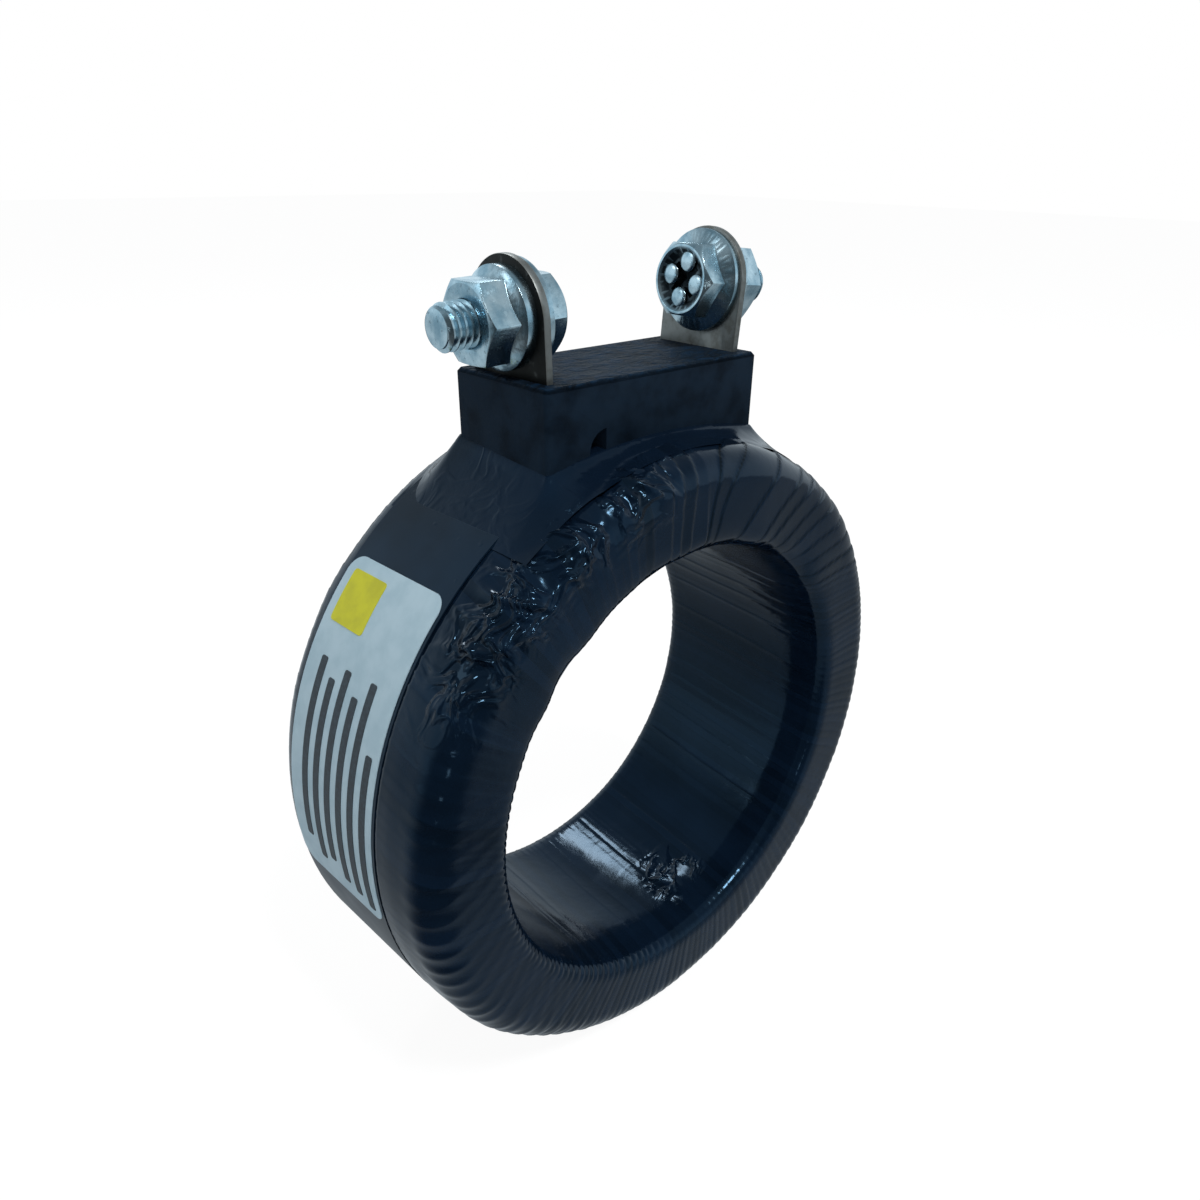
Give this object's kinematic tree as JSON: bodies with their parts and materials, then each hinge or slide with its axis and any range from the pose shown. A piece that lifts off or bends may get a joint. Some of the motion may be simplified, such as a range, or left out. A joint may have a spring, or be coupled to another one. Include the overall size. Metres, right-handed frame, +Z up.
{
  "type": "window-type current transformer",
  "caption": "Tape-wound ring current transformer that stands on its rim, with a round window, a moulded terminal block and bolted blade terminals on top.",
  "frame": {"origin": "centre of the window, on its axis, midway between the ring's two faces", "axes": "+Y along the window's axis, away from the face that the block's notch looks out of; +Z up, to the terminal block; +X to the right seen from the front"},
  "size_m": [0.1042, 0.04, 0.1303],
  "materials": {
    "core_steel": "cold rolled strip",
    "core_paper": "pressed board",
    "copper_wire": "enamelled copper",
    "clear_film": "thin film",
    "black_tape": "glossy wound tape",
    "black_band": "smooth glossy tape",
    "black_moulding": "rough moulding",
    "tinned_copper": "tinned, brushed",
    "zinc_steel": "blue zinc plate",
    "sleeving": "woven sleeve",
    "solder": "solder",
    "label_film": "satin film",
    "label_yellow": "printed",
    "label_ink": "printed"
  },
  "bodies": {
    "ring": {"steel_core": "core_steel", "core_bore_sleeve": "core_paper", "core_rim_sleeve": "core_paper", "core_edge_ring_front": "core_paper", "core_edge_ring_rear": "core_paper", "secondary_winding": "copper_wire", "film_wrap": "clear_film", "tape_wrap": "black_tape", "rim_band": "black_band", "tape_collar": "black_tape", "terminal_block": "black_moulding", "terminal_blade_left": "tinned_copper", "terminal_blade_right": "tinned_copper", "lead_wire_left": "copper_wire", "lead_wire_right": "copper_wire", "lead_sleeve_left": "sleeving", "lead_sleeve_right": "sleeving", "solder_joint_left": "solder", "solder_joint_right": "solder", "label": "label_film", "label_patch": "label_yellow", "label_bars": "label_ink"},
    "bolt_left": {"terminal_bolt_left": "zinc_steel"},
    "bolt_right": {"terminal_bolt_right": "zinc_steel"},
    "nut_left": {"terminal_nut_left": "zinc_steel"},
    "nut_right": {"terminal_nut_right": "zinc_steel"}
  },
  "joints": [
    {"name": "bolt_left_turn", "type": "hinge", "parent": "ring", "child": "bolt_left", "pos_m": [-0.01876, 0.0001, 0.069], "axis": [0.9994, 0, 0.0349], "range_deg": [0, 2880]},
    {"name": "nut_left_travel", "type": "slide", "parent": "ring", "child": "nut_left", "axis": [-0.9994, 0, -0.0349], "range_m": [0, 0.00801]},
    {"name": "bolt_right_turn", "type": "hinge", "parent": "ring", "child": "bolt_right", "pos_m": [0.01939, 0.0001, 0.07086], "axis": [-0.9954, 0, 0.0958], "range_deg": [0, 2880]},
    {"name": "nut_right_travel", "type": "slide", "parent": "ring", "child": "nut_right", "axis": [0.9954, 0, -0.0958], "range_m": [0, 0.00801]}
  ],
  "couplings": [
    {"joint": "nut_left_travel", "follows": "bolt_left_turn", "m_per_rad": 0.00015915},
    {"joint": "nut_right_travel", "follows": "bolt_right_turn", "m_per_rad": 0.00015915}
  ]
}
